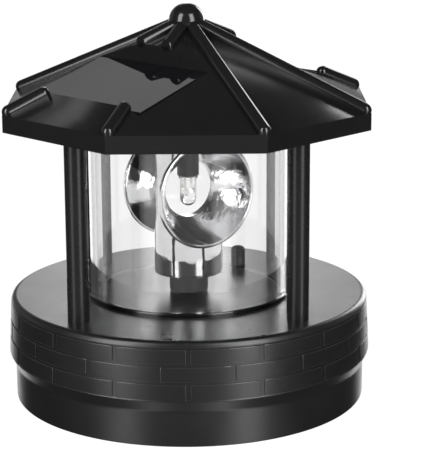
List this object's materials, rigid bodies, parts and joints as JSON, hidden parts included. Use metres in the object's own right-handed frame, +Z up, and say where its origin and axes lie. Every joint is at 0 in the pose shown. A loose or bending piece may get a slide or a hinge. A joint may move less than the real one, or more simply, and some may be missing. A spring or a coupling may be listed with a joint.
{
  "type": "garden lighthouse ornament",
  "caption": "Solar garden lighthouse lantern: brick-banded round base, clear tube with a turning double-dish reflector round a lamp, columns and an eight-sided ribbed roof.",
  "frame": {"origin": "centre of the base's lowest ring, on the surface it stands on", "axes": "+Z up along the reflector's shaft, -Y the front of the picture, +X to its right"},
  "size_m": [0.1102, 0.1102, 0.1191],
  "materials": {
    "housing_black": "moulded black plastic, satin sides and glossy deck",
    "roof_black": "moulded black plastic, satin",
    "column_black": "moulded black plastic, satin",
    "inner_black": "moulded black plastic",
    "post_black": "moulded black plastic",
    "cover_black": "fine-textured black plastic",
    "rubber_black": "soft black rubber",
    "button_rubber": "soft dark rubber",
    "clear_plastic": "clear polished plastic",
    "lamp_clear": "clear cast resin",
    "reflector_chrome": "mirror-bright metallised plastic",
    "tinned_lead": "tinned",
    "bright_steel": "ground steel",
    "motor_steel": "plated steel can",
    "contact_steel": "nickel-plated spring steel",
    "screw_steel": "zinc-plated steel",
    "bush_brass": "turned brass",
    "gear_white": "white acetal",
    "plunger_white": "white plastic",
    "component_black": "black moulded parts",
    "board_green": "green solder mask",
    "cell_jacket": "plain green sleeve",
    "panel_dark": "dark cells under clear resin"
  },
  "bodies": {
    "lantern": {"base_housing": "housing_black", "foot_ring": "rubber_black", "lens_tube": "clear_plastic", "roof_shell": "roof_black", "ceiling_plate": "inner_black", "lamp_post": "post_black", "lamp_body": "lamp_clear", "lamp_leads": "tinned_lead", "shaft_bush": "bush_brass", "idler_pin": "bright_steel", "motor_can": "motor_steel", "gear_plate": "inner_black", "bottom_cover": "cover_black", "battery_door": "cover_black", "battery_cell": "cell_jacket", "contact_plate": "contact_steel", "contact_spring": "contact_steel", "circuit_board": "board_green", "board_parts": "component_black", "push_switch": "component_black", "cover_screws": "screw_steel", "door_screw": "screw_steel", "plate_screws": "screw_steel", "motor_screws": "screw_steel", "board_screws": "screw_steel", "column_screws": "screw_steel", "roof_screws": "screw_steel", "column_front_right": "column_black", "column_back_right": "column_black", "column_back_left": "column_black", "column_front_left": "column_black", "solar_panel_front": "panel_dark", "solar_panel_back": "panel_dark"},
    "rotor": {"rotor_shaft": "bright_steel", "output_gear": "gear_white", "drive_hub": "post_black", "reflector": "reflector_chrome"},
    "idler": {"idler_gear": "gear_white"},
    "motor_rotor": {"motor_pinion": "bush_brass", "motor_shaft": "bright_steel"},
    "button": {"button_cap": "button_rubber", "switch_plunger": "plunger_white"}
  },
  "joints": [
    {"name": "rotor_spin", "type": "hinge", "parent": "lantern", "child": "rotor", "pos_m": [0, 0, 0.0315], "axis": [0, 0, 1], "continuous": true},
    {"name": "idler_spin", "type": "hinge", "parent": "lantern", "child": "idler", "pos_m": [-0.0075, 0.01299, 0.017], "axis": [0, 0, 1], "continuous": true},
    {"name": "motor_spin", "type": "hinge", "parent": "lantern", "child": "motor_rotor", "pos_m": [-0.0225, 0.01299, 0.017], "axis": [0, 0, 1], "continuous": true},
    {"name": "button_press", "type": "slide", "parent": "lantern", "child": "button", "axis": [0, 0, -1], "range_m": [0, 0.001], "stiffness_N_per_m": 1500}
  ],
  "couplings": [
    {"joint": "idler_spin", "follows": "rotor_spin", "ratio": -4},
    {"joint": "motor_spin", "follows": "rotor_spin", "ratio": 20}
  ]
}
